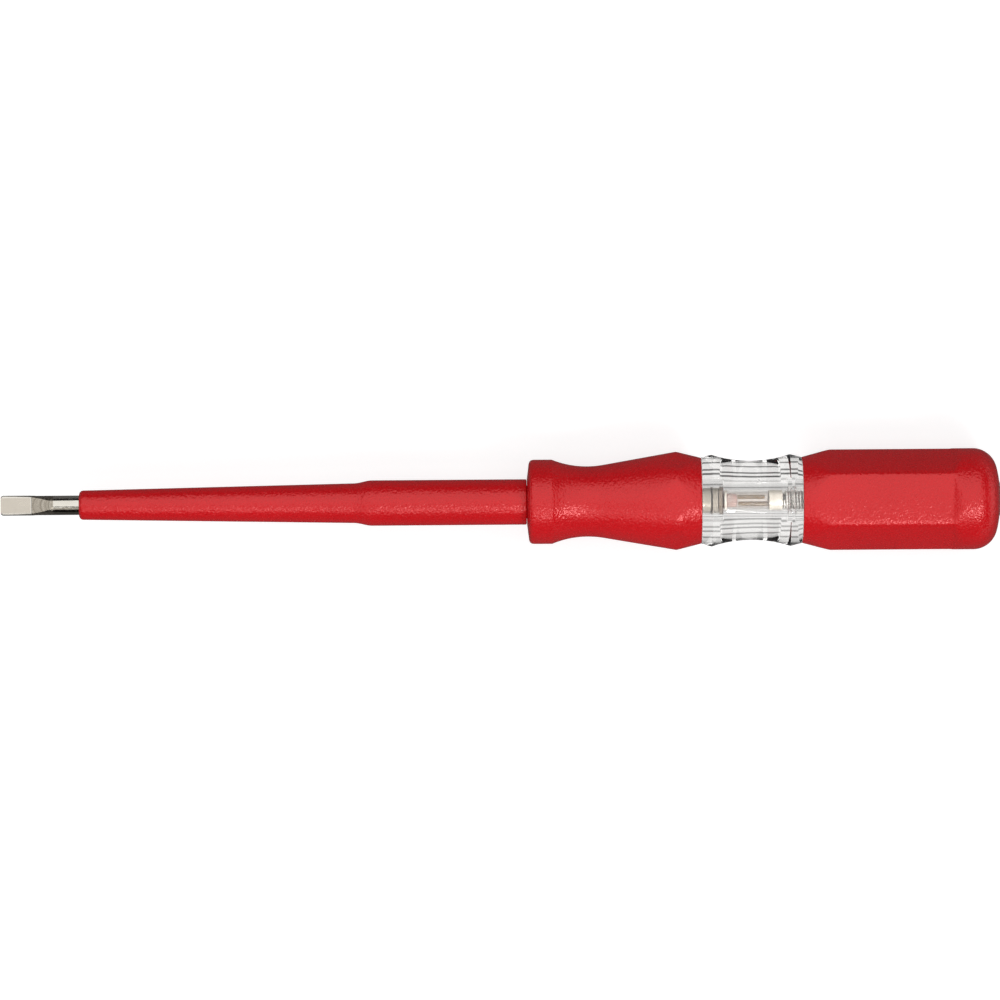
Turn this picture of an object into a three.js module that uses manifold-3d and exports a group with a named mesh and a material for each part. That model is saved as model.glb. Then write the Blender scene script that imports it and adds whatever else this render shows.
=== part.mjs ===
// Single-pole mains voltage tester in the form of a flat-blade screwdriver.
// Millimetres, +X from the blade tip to the touch button, +Z up.
// The tool lies on its side: two of its six grip flats face straight up and down,
// and so do the two broad faces of the blade.
// The origin lies on the tool's axis, halfway between the blade tip and the touch button.
import * as THREE from "three";
import { mergeVertices } from "three/addons/utils/BufferGeometryUtils.js";
import Module from "manifold-3d";

const wasm = await Module();
wasm.setup();

// Fits
const slipGap = 0.05; // radial clearance of a piece pushed into another
const buttGap = 0.05; // space left between two faces that meet end to end
const runningGap = 0.1; // radial clearance of the touch button, which slides
const overrun = 1; // how far a cutting body reaches past what it cuts

// Facets
const gripSides = 60;
const frontGripSides = 36;
const boreSides = 36;
const rodSides = 24;
const electrodeSides = 12;
const arcSteps = 6;

// The six flats of the grips belong to one hexagonal bar.
const flatCount = 6;
const gripAcrossFlats = 13.8;

// Blade
const bladeExposedLength = 11.8;
const bladeShaftRadius = 1.46;
const bladeTipWidth = 3;
const bladeTipThickness = 0.5;
const bladeTipCornerRadius = 0.4;
const bladeFlatLength = 4.7;
const bladeFlatRearThickness = 1.6;
const bladeRunOutLength = 3.2; // steeper ground face that ends in a pointed arch on the shaft
const bladeSwageThickness = 0.8;
const bladeSwageFadeLength = 0.7;
const bladeTailLength = 13.8; // shaft that lies inside the front grip
const bladeTailChamfer = 0.3;
const bladeLugLength = 3;
const bladeLugTaper = 0.5;
const bladeLugSpan = 4.6;
const bladeLugThickness = 1;

// Insulating sleeve
const sleeveLipWall = 0.06;
const sleeveFrontRadius = 2.2;
const sleeveNoseLength = 1;
const sleeveTaperLength = 40.2;
const sleeveTaperRearRadius = 2.98;
const sleeveShoulderLength = 2.8;
const sleeveBarrelRadius = 3.41;
const sleeveBarrelLength = 23.2;
const sleeveRearChamfer = 0.25;
const sleeveSpigotRadius = 2.5;
const sleeveSpigotLength = 5;

// Front grip
const gripFaceCrown = 0.35;
const gripFaceFillet = 0.8;
const collarRadius = 6.33;
const collarLength = 3.75;
const neckRadius = 5.28;
const neckArcRadius = 14;
const frontGripLength = 26.1;
const ridgeRadius = 7.39;
const ridgeTaperLength = 3.7;

// Window
const windowLength = 15.1;
const windowEndRadius = 6.46;
const windowLipRadius = 6.9;
const windowFrontLip = 1.55;
const windowRearLip = 1.75;
const windowWaistRadius = 5.95;
const spigotAcrossFlats = 9;
const spigotCornerRadius = 5;
const spigotLength = 5.4;
const spigotChamfer = 0.4;
const lampSeatDepth = 2.75; // from the window's front edge back to the shoulder that stops the disc
const lampBoreRadius = 1.7;
const springBoreRadius = 2.15;
const springBoreLead = 1.65; // the wider spring bore starts this far inside the window's rear edge

// Rear grip
const rearGripLength = 29.75;
const rearTaperLength = 4.2;
const rearBarrelRadius = 7.6;
const rearFlatEndGap = 7.5; // from the end of the flats back to the end of the dome
const rearRampAngle = THREE.MathUtils.degToRad(27);
const domeCrownRadius = 20.5;
const domeCornerRadius = 3.6;
const rearShoulderWall = 3.4; // material between the chamber and the end of the dome
const chamberRadius = 3.5;

// Series resistor
const resistorCoreRadius = 1.6;
const resistorCapWall = 0.25;
const resistorCapLength = 2.2;
const resistorBoreRadius = 2.15;

// Contact disc between the resistor and the lamp
const discThickness = 0.65;
const discPipRadius = 1;
const discPipHeight = 0.15;

// Glow lamp
const lampLength = 9.75;
const lampGlassRadius = 1.3;
const lampGlassWall = 0.25;
const lampCapWall = 0.15;
const lampFrontCapLength = 0.8;
const lampRearCapLength = 2.3;
const lampStemLength = 1.6;
const electrodeRadius = 0.33;
const electrodeSpacing = 1;
const electrodeTipGap = 0.6; // space ahead of each electrode's free end

// Touch button, guide pin and contact spring
const buttonHeadRadius = 2.8;
const buttonSetback = 0.1; // the button's flat lies this far inside the dome's full height
const buttonEdgeChamfer = 0.2;
const buttonFlangeOverlap = 0.6; // how far the flange stands out past the head
const buttonFlangeThickness = 0.9;
const guidePinRadius = 0.8;
const guidePinLength = 9;
const guidePinSeat = 2.5;
const guidePinChamfer = 0.2;
const springWireRadius = 0.22;
const springCoilRadius = 1.25;
const springTurns = 20;
const springStepsPerTurn = 8;
const springWireSides = 5;

// Stations along the axis, counted from the blade tip
const sleeveFront = bladeExposedLength;
const taperFront = sleeveFront + sleeveNoseLength;
const shoulderFront = taperFront + sleeveTaperLength;
const barrelFront = shoulderFront + sleeveShoulderLength;
const barrelRear = barrelFront + sleeveBarrelLength;
const sleeveRear = barrelRear + sleeveSpigotLength;
const gripFront = barrelRear + buttGap;
const collarRear = gripFront + collarLength;
const gripRear = gripFront + frontGripLength;
const ridgeStation = gripRear - ridgeTaperLength;
const bladeRear = gripFront + bladeTailLength;
const lugFront = sleeveRear + buttGap;
const lugRear = lugFront + bladeLugLength;
const windowFront = gripRear + buttGap;
const windowRear = windowFront + windowLength;
const lampSeat = windowFront + lampSeatDepth;
const discRear = lampSeat - buttGap;
const discFront = discRear - discThickness;
const lampFront = discRear + discPipHeight + buttGap;
const lampRear = lampFront + lampLength;
const springBoreFront = windowRear - springBoreLead;
const resistorFront = bladeRear + buttGap;
const resistorRear = discFront - buttGap;
const rearGripFront = windowRear + buttGap;
const domeApex = rearGripFront + rearGripLength;
const buttonFace = domeApex - buttonSetback;
const chamberRear = domeApex - rearShoulderWall;
const flangeRear = chamberRear - buttGap;
const flangeFront = flangeRear - buttonFlangeThickness;

// Widths that follow from a neighbour
const bladeBoreRadius = bladeShaftRadius + slipGap;
const lampInnerRadius = lampGlassRadius - lampGlassWall;
const lampCapRadius = lampGlassRadius + slipGap + lampCapWall;
const resistorCapRadius = resistorCoreRadius + slipGap + resistorCapWall;
const buttonFlangeRadius = buttonHeadRadius + buttonFlangeOverlap;

// A closed geometry becomes a solid that can be joined and cut.
function solidOf(geometry) {
  const bare = geometry.clone();
  bare.deleteAttribute("normal");
  bare.deleteAttribute("uv");
  const merged = mergeVertices(bare);
  return new wasm.Manifold(
    new wasm.Mesh({
      numProp: 3,
      vertProperties: merged.attributes.position.array,
      triVerts: new Uint32Array(merged.index.array),
    }),
  );
}

function geometryOf(solid) {
  const mesh = solid.getMesh();
  const geometry = new THREE.BufferGeometry();
  geometry.setAttribute("position", new THREE.BufferAttribute(mesh.vertProperties, 3));
  geometry.setIndex(new THREE.BufferAttribute(mesh.triVerts, 1));
  geometry.computeVertexNormals();
  return geometry;
}

// Turns a path of (station, radius) points about the tool's axis.
function turned(path, sides) {
  const points = path.getPoints(arcSteps).map((p) => new THREE.Vector2(p.y, p.x));
  return new THREE.LatheGeometry(points, sides).rotateZ(-Math.PI / 2);
}

// A plain round bar between two stations.
function bar(front, rear, radius, sides) {
  const path = new THREE.Path();
  path.moveTo(front, 0);
  path.lineTo(front, radius);
  path.lineTo(rear, radius);
  path.lineTo(rear, 0);
  return turned(path, sides);
}

// Extrudes a shape of (station, height) points across the tool, centred on the axis.
function across(shape, width) {
  const settings = { depth: width, bevelEnabled: false, curveSegments: arcSteps };
  const geometry = new THREE.ExtrudeGeometry(shape, settings);
  return geometry.translate(0, 0, -width / 2).rotateX(Math.PI / 2);
}

// Extrudes a shape of (station, side) points up and down, centred on the axis.
function upright(shape, height) {
  const settings = { depth: height, bevelEnabled: false, curveSegments: arcSteps };
  return new THREE.ExtrudeGeometry(shape, settings).translate(0, 0, -height / 2);
}

// A hexagonal bar along the axis, with a flat facing up.
function hexBar(front, rear, acrossFlats) {
  const corner = acrossFlats / Math.sqrt(3);
  const corners = [];
  for (let i = 0; i < flatCount; i += 1) {
    const angle = (i * 2 * Math.PI) / flatCount;
    corners.push(new THREE.Vector2(corner * Math.sin(angle), corner * Math.cos(angle)));
  }
  const settings = { depth: rear - front, bevelEnabled: false };
  const geometry = new THREE.ExtrudeGeometry(new THREE.Shape(corners), settings);
  return geometry.rotateY(Math.PI / 2).translate(front, 0, 0);
}

// The cutter that grinds one broad face of the blade: a thin wedge, then a steeper run-out.
function bladeFaceCutter() {
  const tipHalf = bladeTipThickness / 2;
  const rearHalf = bladeFlatRearThickness / 2;
  const runOutRear = bladeFlatLength + bladeRunOutLength;
  const slope = (rearHalf - tipHalf) / bladeFlatLength;
  const top = bladeShaftRadius + overrun;
  const shape = new THREE.Shape();
  shape.moveTo(-overrun, tipHalf - slope * overrun);
  shape.lineTo(bladeFlatLength, rearHalf);
  shape.lineTo(runOutRear, bladeShaftRadius);
  shape.lineTo(runOutRear, top);
  shape.lineTo(-overrun, top);
  shape.closePath();
  return across(shape, bladeTipWidth + 2 * overrun);
}

// Plan of the pressed tip, a little wider than the shaft, with rounded corners.
function bladeTipPlan() {
  const halfWidth = bladeTipWidth / 2;
  const corner = bladeTipCornerRadius;
  const fadeRear = bladeFlatLength + bladeSwageFadeLength;
  const plan = new THREE.Shape();
  plan.moveTo(fadeRear, -bladeShaftRadius);
  plan.lineTo(fadeRear, bladeShaftRadius);
  plan.lineTo(bladeFlatLength, halfWidth);
  plan.lineTo(corner, halfWidth);
  plan.absarc(corner, halfWidth - corner, corner, Math.PI / 2, Math.PI, false);
  plan.absarc(corner, corner - halfWidth, corner, Math.PI, 1.5 * Math.PI, false);
  plan.lineTo(bladeFlatLength, -halfWidth);
  plan.closePath();
  return upright(plan, bladeSwageThickness);
}

// Two pressed lugs that stop the blade turning or pulling out of the grip.
function bladeLugs() {
  const half = bladeLugSpan / 2;
  const plan = new THREE.Shape();
  plan.moveTo(lugFront, -half + bladeLugTaper);
  plan.lineTo(lugFront + bladeLugTaper, -half);
  plan.lineTo(lugRear, -half);
  plan.lineTo(lugRear, half);
  plan.lineTo(lugFront + bladeLugTaper, half);
  plan.lineTo(lugFront, half - bladeLugTaper);
  plan.closePath();
  return upright(plan, bladeLugThickness);
}

function blade() {
  const path = new THREE.Path();
  path.moveTo(bladeTipCornerRadius, 0);
  path.lineTo(bladeTipCornerRadius, bladeShaftRadius);
  path.lineTo(bladeRear - bladeTailChamfer, bladeShaftRadius);
  path.lineTo(bladeRear, bladeShaftRadius - bladeTailChamfer);
  path.lineTo(bladeRear, 0);
  const shaft = solidOf(turned(path, boreSides));
  const upper = bladeFaceCutter();
  const lower = upper.clone().rotateX(Math.PI);
  const ground = shaft.add(solidOf(bladeTipPlan())).subtract(solidOf(upper)).subtract(solidOf(lower));
  return geometryOf(ground.add(solidOf(bladeLugs())));
}

// Tapered sleeve, moulded over the blade, whose tail plugs into the front grip.
function insulatingSleeve() {
  const lipRadius = bladeBoreRadius + sleeveLipWall;
  const noseMiddle = sleeveFront + sleeveNoseLength / 2;
  const shoulderMiddle = (shoulderFront + barrelFront) / 2;
  const path = new THREE.Path();
  path.moveTo(sleeveFront, bladeBoreRadius);
  path.lineTo(sleeveFront, lipRadius);
  path.quadraticCurveTo(noseMiddle, sleeveFrontRadius, taperFront, sleeveFrontRadius);
  path.lineTo(shoulderFront, sleeveTaperRearRadius);
  path.bezierCurveTo(
    shoulderMiddle,
    sleeveTaperRearRadius,
    shoulderMiddle,
    sleeveBarrelRadius,
    barrelFront,
    sleeveBarrelRadius,
  );
  path.lineTo(barrelRear - sleeveRearChamfer, sleeveBarrelRadius);
  path.lineTo(barrelRear, sleeveBarrelRadius - sleeveRearChamfer);
  path.lineTo(barrelRear, sleeveSpigotRadius);
  path.lineTo(sleeveRear, sleeveSpigotRadius);
  path.lineTo(sleeveRear, bladeBoreRadius);
  path.lineTo(sleeveFront, bladeBoreRadius);
  return turned(path, boreSides);
}

// Neck arc and flare of the front grip, from the collar's rear edge to the ridge.
function neckAndFlare(path) {
  const centreY = neckRadius + neckArcRadius;
  const drop = neckArcRadius - (collarRadius - neckRadius);
  const halfChord = Math.sqrt(neckArcRadius ** 2 - drop ** 2);
  const centreX = collarRear + halfChord;
  const from = -Math.PI / 2 - Math.asin(halfChord / neckArcRadius);
  const toRidgeX = ridgeStation - centreX;
  const toRidgeY = ridgeRadius - centreY;
  const tangentAngle = Math.acos(neckArcRadius / Math.hypot(toRidgeX, toRidgeY));
  const to = Math.atan2(toRidgeY, toRidgeX) - tangentAngle;
  path.lineTo(collarRear, collarRadius);
  path.absarc(centreX, centreY, neckArcRadius, from, to, false);
  path.lineTo(ridgeStation, ridgeRadius);
}

// Hexagonal mouth that takes one of the window's spigots.
function spigotSocket(front, rear) {
  const hexagon = solidOf(hexBar(front, rear, spigotAcrossFlats + 2 * slipGap));
  const corners = bar(front - overrun, rear + overrun, spigotCornerRadius + slipGap, gripSides);
  return hexagon.intersect(solidOf(corners));
}

// Slot behind the sleeve's tail that holds the blade's lugs.
function lugSlot() {
  const half = bladeLugSpan / 2 + slipGap;
  const plan = new THREE.Shape();
  plan.moveTo(sleeveRear, -half);
  plan.lineTo(lugRear + buttGap, -half);
  plan.lineTo(lugRear + buttGap, half);
  plan.lineTo(sleeveRear, half);
  plan.closePath();
  return upright(plan, bladeLugThickness + 2 * slipGap);
}

// Collar, neck, flare and ridge; the hexagonal bar leaves six flats across the ridge.
function frontGrip() {
  const faceRear = gripFront + gripFaceCrown;
  const filletCentreX = faceRear + gripFaceFillet;
  const filletCentreY = collarRadius - gripFaceFillet;
  const outline = new THREE.Path();
  outline.moveTo(gripFront, 0);
  outline.lineTo(gripFront, sleeveBarrelRadius);
  outline.lineTo(faceRear, filletCentreY);
  outline.absarc(filletCentreX, filletCentreY, gripFaceFillet, Math.PI, Math.PI / 2, true);
  neckAndFlare(outline);
  outline.lineTo(gripRear, windowEndRadius);
  outline.lineTo(gripRear, 0);
  const flats = hexBar(gripFront - overrun, gripRear + overrun, gripAcrossFlats);
  // Half a facet of turn puts a facet, not a corner, under the collar, so the tool lies still.
  const body = turned(outline, frontGripSides).rotateX(Math.PI / frontGripSides);

  const socketFront = gripRear - spigotLength - buttGap;
  const bores = new THREE.Path();
  bores.moveTo(gripFront - overrun, 0);
  bores.lineTo(gripFront - overrun, sleeveSpigotRadius + slipGap);
  bores.lineTo(lugFront, sleeveSpigotRadius + slipGap);
  bores.lineTo(lugFront, bladeBoreRadius);
  bores.lineTo(bladeRear, bladeBoreRadius);
  bores.lineTo(bladeRear, resistorBoreRadius);
  bores.lineTo(socketFront + overrun, resistorBoreRadius);
  bores.lineTo(socketFront + overrun, 0);
  return geometryOf(
    solidOf(body)
      .intersect(solidOf(flats))
      .subtract(solidOf(turned(bores, boreSides)))
      .subtract(solidOf(lugSlot()))
      .subtract(spigotSocket(socketFront, gripRear + overrun)),
  );
}

// Hexagonal spigot with chamfered ends.
function spigot(front, rear) {
  const path = new THREE.Path();
  path.moveTo(front, 0);
  path.lineTo(front, spigotCornerRadius - spigotChamfer);
  path.lineTo(front + spigotChamfer, spigotCornerRadius);
  path.lineTo(rear - spigotChamfer, spigotCornerRadius);
  path.lineTo(rear, spigotCornerRadius - spigotChamfer);
  path.lineTo(rear, 0);
  const hexagon = solidOf(hexBar(front, rear, spigotAcrossFlats));
  return hexagon.intersect(solidOf(turned(path, gripSides)));
}

// Waist between the window's two lips, as an arc through three known radii.
function windowWaist(path) {
  const lipFront = windowFront + windowFrontLip;
  const half = (windowLength - windowFrontLip - windowRearLip) / 2;
  const sag = windowLipRadius - windowWaistRadius;
  const arcRadius = (half ** 2 + sag ** 2) / (2 * sag);
  const swing = Math.asin(half / arcRadius);
  const from = -Math.PI / 2 - swing;
  const to = -Math.PI / 2 + swing;
  path.absarc(lipFront + half, windowWaistRadius + arcRadius, arcRadius, from, to, false);
}

// Clear waisted body with a plug at each end and a stepped bore for disc, lamp and spring.
function windowBody() {
  const outline = new THREE.Path();
  outline.moveTo(windowFront, 0);
  outline.lineTo(windowFront, windowEndRadius);
  windowWaist(outline);
  outline.lineTo(windowRear, windowEndRadius);
  outline.lineTo(windowRear, 0);

  const plugFront = windowFront - spigotLength;
  const plugRear = windowRear + spigotLength;
  const bores = new THREE.Path();
  bores.moveTo(plugFront - overrun, 0);
  bores.lineTo(plugFront - overrun, resistorBoreRadius);
  bores.lineTo(lampSeat, resistorBoreRadius);
  bores.lineTo(lampSeat, lampBoreRadius);
  bores.lineTo(springBoreFront, lampBoreRadius);
  bores.lineTo(springBoreFront, springBoreRadius);
  bores.lineTo(plugRear + overrun, springBoreRadius);
  bores.lineTo(plugRear + overrun, 0);
  return geometryOf(
    solidOf(turned(outline, gripSides))
      .add(spigot(plugFront, windowFront + spigotChamfer + overrun))
      .add(spigot(windowRear - spigotChamfer - overrun, plugRear))
      .subtract(solidOf(turned(bores, boreSides))),
  );
}

// Cuts the six flats, each of which ends in a ramp short of the dome.
function withRearFlats(body) {
  const apothem = gripAcrossFlats / 2;
  const top = rearBarrelRadius + overrun;
  const flatRear = domeApex - rearFlatEndGap;
  const rampRear = flatRear + (top - apothem) / Math.tan(rearRampAngle);
  const shape = new THREE.Shape();
  shape.moveTo(rearGripFront - overrun, apothem);
  shape.lineTo(flatRear, apothem);
  shape.lineTo(rampRear, top);
  shape.lineTo(rearGripFront - overrun, top);
  shape.closePath();
  const cutter = across(shape, 2 * rearBarrelRadius);
  let cut = body;
  for (let i = 0; i < flatCount; i += 1) {
    cut = cut.subtract(solidOf(cutter.clone().rotateX((i * 2 * Math.PI) / flatCount)));
  }
  return cut;
}

// Round barrel with a crowned dome; a hexagonal socket in front and the chamber behind it.
function rearGrip() {
  const crownCentre = domeApex - domeCrownRadius;
  const cornerCentreY = rearBarrelRadius - domeCornerRadius;
  const centresApart = domeCrownRadius - domeCornerRadius;
  const cornerCentreX = crownCentre + Math.sqrt(centresApart ** 2 - cornerCentreY ** 2);
  const handover = Math.asin(cornerCentreY / centresApart);
  const outline = new THREE.Path();
  outline.moveTo(rearGripFront, 0);
  outline.lineTo(rearGripFront, windowEndRadius);
  outline.lineTo(rearGripFront + rearTaperLength, rearBarrelRadius);
  outline.absarc(cornerCentreX, cornerCentreY, domeCornerRadius, Math.PI / 2, handover, true);
  outline.absarc(crownCentre, 0, domeCrownRadius, handover, 0, true);

  const socketRear = rearGripFront + spigotLength + buttGap;
  const bores = new THREE.Path();
  bores.moveTo(socketRear - overrun, 0);
  bores.lineTo(socketRear - overrun, chamberRadius);
  bores.lineTo(chamberRear, chamberRadius);
  bores.lineTo(chamberRear, buttonHeadRadius + runningGap);
  bores.lineTo(domeApex + overrun, buttonHeadRadius + runningGap);
  bores.lineTo(domeApex + overrun, 0);
  return geometryOf(
    withRearFlats(solidOf(turned(outline, gripSides)))
      .subtract(spigotSocket(rearGripFront - overrun, socketRear))
      .subtract(solidOf(turned(bores, boreSides))),
  );
}

// A drawn cap: closed at one station, with its mouth facing back (1) or forward (-1).
function drawnCap(closedEnd, facing, length, radius, wall) {
  const path = new THREE.Path();
  path.moveTo(0, 0);
  path.lineTo(0, radius);
  path.lineTo(length, radius);
  path.lineTo(length, radius - wall);
  path.lineTo(wall, radius - wall);
  path.lineTo(wall, 0);
  const turn = facing > 0 ? 0 : Math.PI;
  return turned(path, rodSides).rotateZ(turn).translate(closedEnd, 0, 0);
}

// Ceramic rod with its resistive film, held between two pressed caps.
function resistorCore() {
  const inset = resistorCapWall + buttGap;
  return bar(resistorFront + inset, resistorRear - inset, resistorCoreRadius, rodSides);
}

function resistorCap(closedEnd, facing) {
  return drawnCap(closedEnd, facing, resistorCapLength, resistorCapRadius, resistorCapWall);
}

// Disc with a raised pip that bears on the lamp's front cap.
function contactDisc() {
  const radius = resistorBoreRadius - slipGap;
  const path = new THREE.Path();
  path.moveTo(discFront, 0);
  path.lineTo(discFront, radius);
  path.lineTo(discRear, radius);
  path.lineTo(discRear, discPipRadius);
  path.lineTo(discRear + discPipHeight, discPipRadius - discPipHeight);
  path.lineTo(discRear + discPipHeight, 0);
  return turned(path, boreSides);
}

// Open glass tube whose ends stand in the two caps.
function lampGlass() {
  const front = lampFront + lampCapWall + buttGap;
  const rear = lampRear - lampCapWall - buttGap;
  const path = new THREE.Path();
  path.moveTo(front, lampInnerRadius);
  path.lineTo(front, lampGlassRadius);
  path.lineTo(rear, lampGlassRadius);
  path.lineTo(rear, lampInnerRadius);
  path.lineTo(front, lampInnerRadius);
  return turned(path, rodSides);
}

function lampCap(closedEnd, facing, length) {
  return drawnCap(closedEnd, facing, length, lampCapRadius, lampCapWall);
}

// Glass bead that closes the lamp's front end and carries one electrode.
function lampStem() {
  const front = lampFront + lampCapWall + buttGap;
  return bar(front, front + lampStemLength, lampInnerRadius - slipGap, rodSides);
}

// Two parallel electrodes: one stands on the stem, the other on the rear cap.
function lampFrontElectrode() {
  const front = lampFront + lampCapWall + lampStemLength + 2 * buttGap;
  const rear = lampRear - lampRearCapLength - electrodeTipGap;
  return bar(front, rear, electrodeRadius, electrodeSides).translate(0, electrodeSpacing / 2, 0);
}

function lampRearElectrode() {
  const front = lampFront + lampCapWall + lampStemLength + electrodeTipGap;
  const rear = lampRear - lampCapWall - buttGap;
  return bar(front, rear, electrodeRadius, electrodeSides).translate(0, -electrodeSpacing / 2, 0);
}

// Flanged button that the spring holds against the shoulder inside the rear grip.
function touchButton() {
  const socketRadius = guidePinRadius + slipGap;
  const socketRear = flangeFront + guidePinSeat + buttGap;
  const path = new THREE.Path();
  path.moveTo(socketRear, 0);
  path.lineTo(socketRear, socketRadius);
  path.lineTo(flangeFront, socketRadius);
  path.lineTo(flangeFront, buttonFlangeRadius);
  path.lineTo(flangeRear, buttonFlangeRadius);
  path.lineTo(flangeRear, buttonHeadRadius);
  path.lineTo(buttonFace - buttonEdgeChamfer, buttonHeadRadius);
  path.lineTo(buttonFace, buttonHeadRadius - buttonEdgeChamfer);
  path.lineTo(buttonFace, 0);
  return turned(path, boreSides);
}

// Pin pressed into the button, which keeps the rear turns of the spring on the axis.
function guidePin() {
  const front = flangeFront - guidePinLength;
  const rear = flangeFront + guidePinSeat;
  const path = new THREE.Path();
  path.moveTo(front, 0);
  path.lineTo(front, guidePinRadius - guidePinChamfer);
  path.lineTo(front + guidePinChamfer, guidePinRadius);
  path.lineTo(rear, guidePinRadius);
  path.lineTo(rear, 0);
  return turned(path, rodSides);
}

// Centre line of the spring's wire: a straight foot, the turns, and a straight foot.
class SpringLine extends THREE.Curve {
  constructor(front, rear) {
    super();
    this.front = front;
    this.rear = rear;
    this.foot = 2 * springWireRadius;
    this.steps = springTurns * springStepsPerTurn + 2;
  }

  // One step runs along each foot, and the steps between them share out the turns.
  getPoint(t, target = new THREE.Vector3()) {
    const step = t * this.steps;
    const turnSteps = this.steps - 2;
    const turnShare = THREE.MathUtils.clamp((step - 1) / turnSteps, 0, 1);
    const ahead = Math.min(step - 1, 0) * this.foot;
    const behind = Math.max(step - 1 - turnSteps, 0) * this.foot;
    const coils = THREE.MathUtils.lerp(this.front + this.foot, this.rear - this.foot, turnShare);
    const angle = turnShare * springTurns * 2 * Math.PI;
    const side = springCoilRadius * Math.sin(angle);
    const height = springCoilRadius * Math.cos(angle);
    return target.set(coils + ahead + behind, side, height);
  }

  getPointAt(t, target) {
    return this.getPoint(t, target);
  }

  getTangentAt(t, target) {
    return this.getTangent(t, target);
  }
}

// Least space between the wire and itself, over points that lie half a turn or more apart.
function springGap(line) {
  const points = line.getPoints(line.steps);
  const apart = springStepsPerTurn / 2;
  let least = Infinity;
  for (let i = 0; i < points.length; i += 1) {
    for (let j = i + apart; j < points.length; j += 1) {
      least = Math.min(least, points[i].distanceTo(points[j]));
    }
  }
  return least - 2 * springWireRadius;
}

function contactSpring() {
  const line = new SpringLine(lampRear + buttGap, flangeFront - buttGap);
  const section = [];
  for (let i = 0; i < springWireSides; i += 1) {
    const angle = (i * 2 * Math.PI) / springWireSides;
    const x = springWireRadius * Math.cos(angle);
    const y = springWireRadius * Math.sin(angle);
    section.push(new THREE.Vector2(x, y));
  }
  console.log(`contact spring: least gap between turns ${springGap(line).toFixed(2)} mm`);
  return new THREE.ExtrudeGeometry(new THREE.Shape(section), {
    steps: line.steps,
    extrudePath: line,
    bevelEnabled: false,
  });
}

const redPlastic = new THREE.MeshStandardMaterial({ color: 0xc4161c, roughness: 0.45 });
const clearPlastic = new THREE.MeshStandardMaterial({
  color: 0xf4f6f4,
  roughness: 0.05,
  transparent: true,
  opacity: 0.35,
});
const clearGlass = new THREE.MeshStandardMaterial({
  color: 0xf6e9e6,
  roughness: 0.02,
  transparent: true,
  opacity: 0.3,
});
const stemGlass = new THREE.MeshStandardMaterial({ color: 0xe7b9b4, roughness: 0.1 });
const nickel = new THREE.MeshStandardMaterial({ color: 0xcfcac2, roughness: 0.2, metalness: 1 });
const springSteel = new THREE.MeshStandardMaterial({ color: 0xb9bab8, roughness: 0.3, metalness: 1 });
const brass = new THREE.MeshStandardMaterial({ color: 0xb08d57, roughness: 0.35, metalness: 1 });
const ceramic = new THREE.MeshStandardMaterial({ color: 0xc9b79a, roughness: 0.6 });
const electrodeMetal = new THREE.MeshStandardMaterial({ color: 0xa8916f, roughness: 0.5, metalness: 0.6 });

const tester = new THREE.Group();
tester.position.x = -buttonFace / 2;

function piece(name, geometry, material) {
  const mesh = new THREE.Mesh(geometry, material);
  mesh.name = name;
  tester.add(mesh);
}

piece("blade", blade(), nickel);
piece("insulating_sleeve", insulatingSleeve(), redPlastic);
piece("front_grip", frontGrip(), redPlastic);
piece("window", windowBody(), clearPlastic);
piece("rear_grip", rearGrip(), redPlastic);
piece("resistor_core", resistorCore(), ceramic);
piece("resistor_front_cap", resistorCap(resistorFront, 1), nickel);
piece("resistor_rear_cap", resistorCap(resistorRear, -1), nickel);
piece("contact_disc", contactDisc(), nickel);
piece("lamp_front_cap", lampCap(lampFront, 1, lampFrontCapLength), nickel);
piece("lamp_stem", lampStem(), stemGlass);
piece("lamp_glass", lampGlass(), clearGlass);
piece("lamp_rear_cap", lampCap(lampRear, -1, lampRearCapLength), nickel);
piece("lamp_front_electrode", lampFrontElectrode(), electrodeMetal);
piece("lamp_rear_electrode", lampRearElectrode(), electrodeMetal);
piece("contact_spring", contactSpring(), springSteel);
piece("guide_pin", guidePin(), brass);
piece("touch_button", touchButton(), nickel);

export default tester;
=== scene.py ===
"""A mains voltage tester in the form of a flat-blade screwdriver, dressed for rendering.

The tool lies along X with its blade towards -X. Stations are millimetres from the blade tip
and radii are millimetres from the tool's axis, as in the part's source.
"""

import math

import bmesh
import bpy
from bpy.props import FloatProperty, FloatVectorProperty, IntProperty, PointerProperty
from mathutils import Matrix, Vector


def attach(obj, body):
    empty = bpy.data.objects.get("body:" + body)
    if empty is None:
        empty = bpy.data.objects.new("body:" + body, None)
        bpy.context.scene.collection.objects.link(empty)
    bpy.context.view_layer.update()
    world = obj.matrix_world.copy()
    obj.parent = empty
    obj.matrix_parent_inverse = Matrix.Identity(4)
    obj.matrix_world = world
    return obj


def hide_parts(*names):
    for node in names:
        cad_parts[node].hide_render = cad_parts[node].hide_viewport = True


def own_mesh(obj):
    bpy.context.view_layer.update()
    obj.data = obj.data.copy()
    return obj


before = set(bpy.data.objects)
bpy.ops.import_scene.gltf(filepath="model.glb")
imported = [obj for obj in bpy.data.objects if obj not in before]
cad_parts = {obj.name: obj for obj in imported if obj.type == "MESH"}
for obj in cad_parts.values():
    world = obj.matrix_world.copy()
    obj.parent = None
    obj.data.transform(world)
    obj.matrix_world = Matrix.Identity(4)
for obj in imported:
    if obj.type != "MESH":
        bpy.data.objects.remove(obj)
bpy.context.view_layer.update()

bl_info = {
    "name": "Voltage Tester Screwdriver",
    "version": (1, 0, 0),
    "blender": (4, 5, 0),
    "location": "3D View > Sidebar > Tester",
    "description": "Builds a voltage tester screwdriver with its lamp, grips and studio",
    "category": "Add Mesh",
}

MM = 0.001
HALF_LENGTH = 75.0

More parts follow.
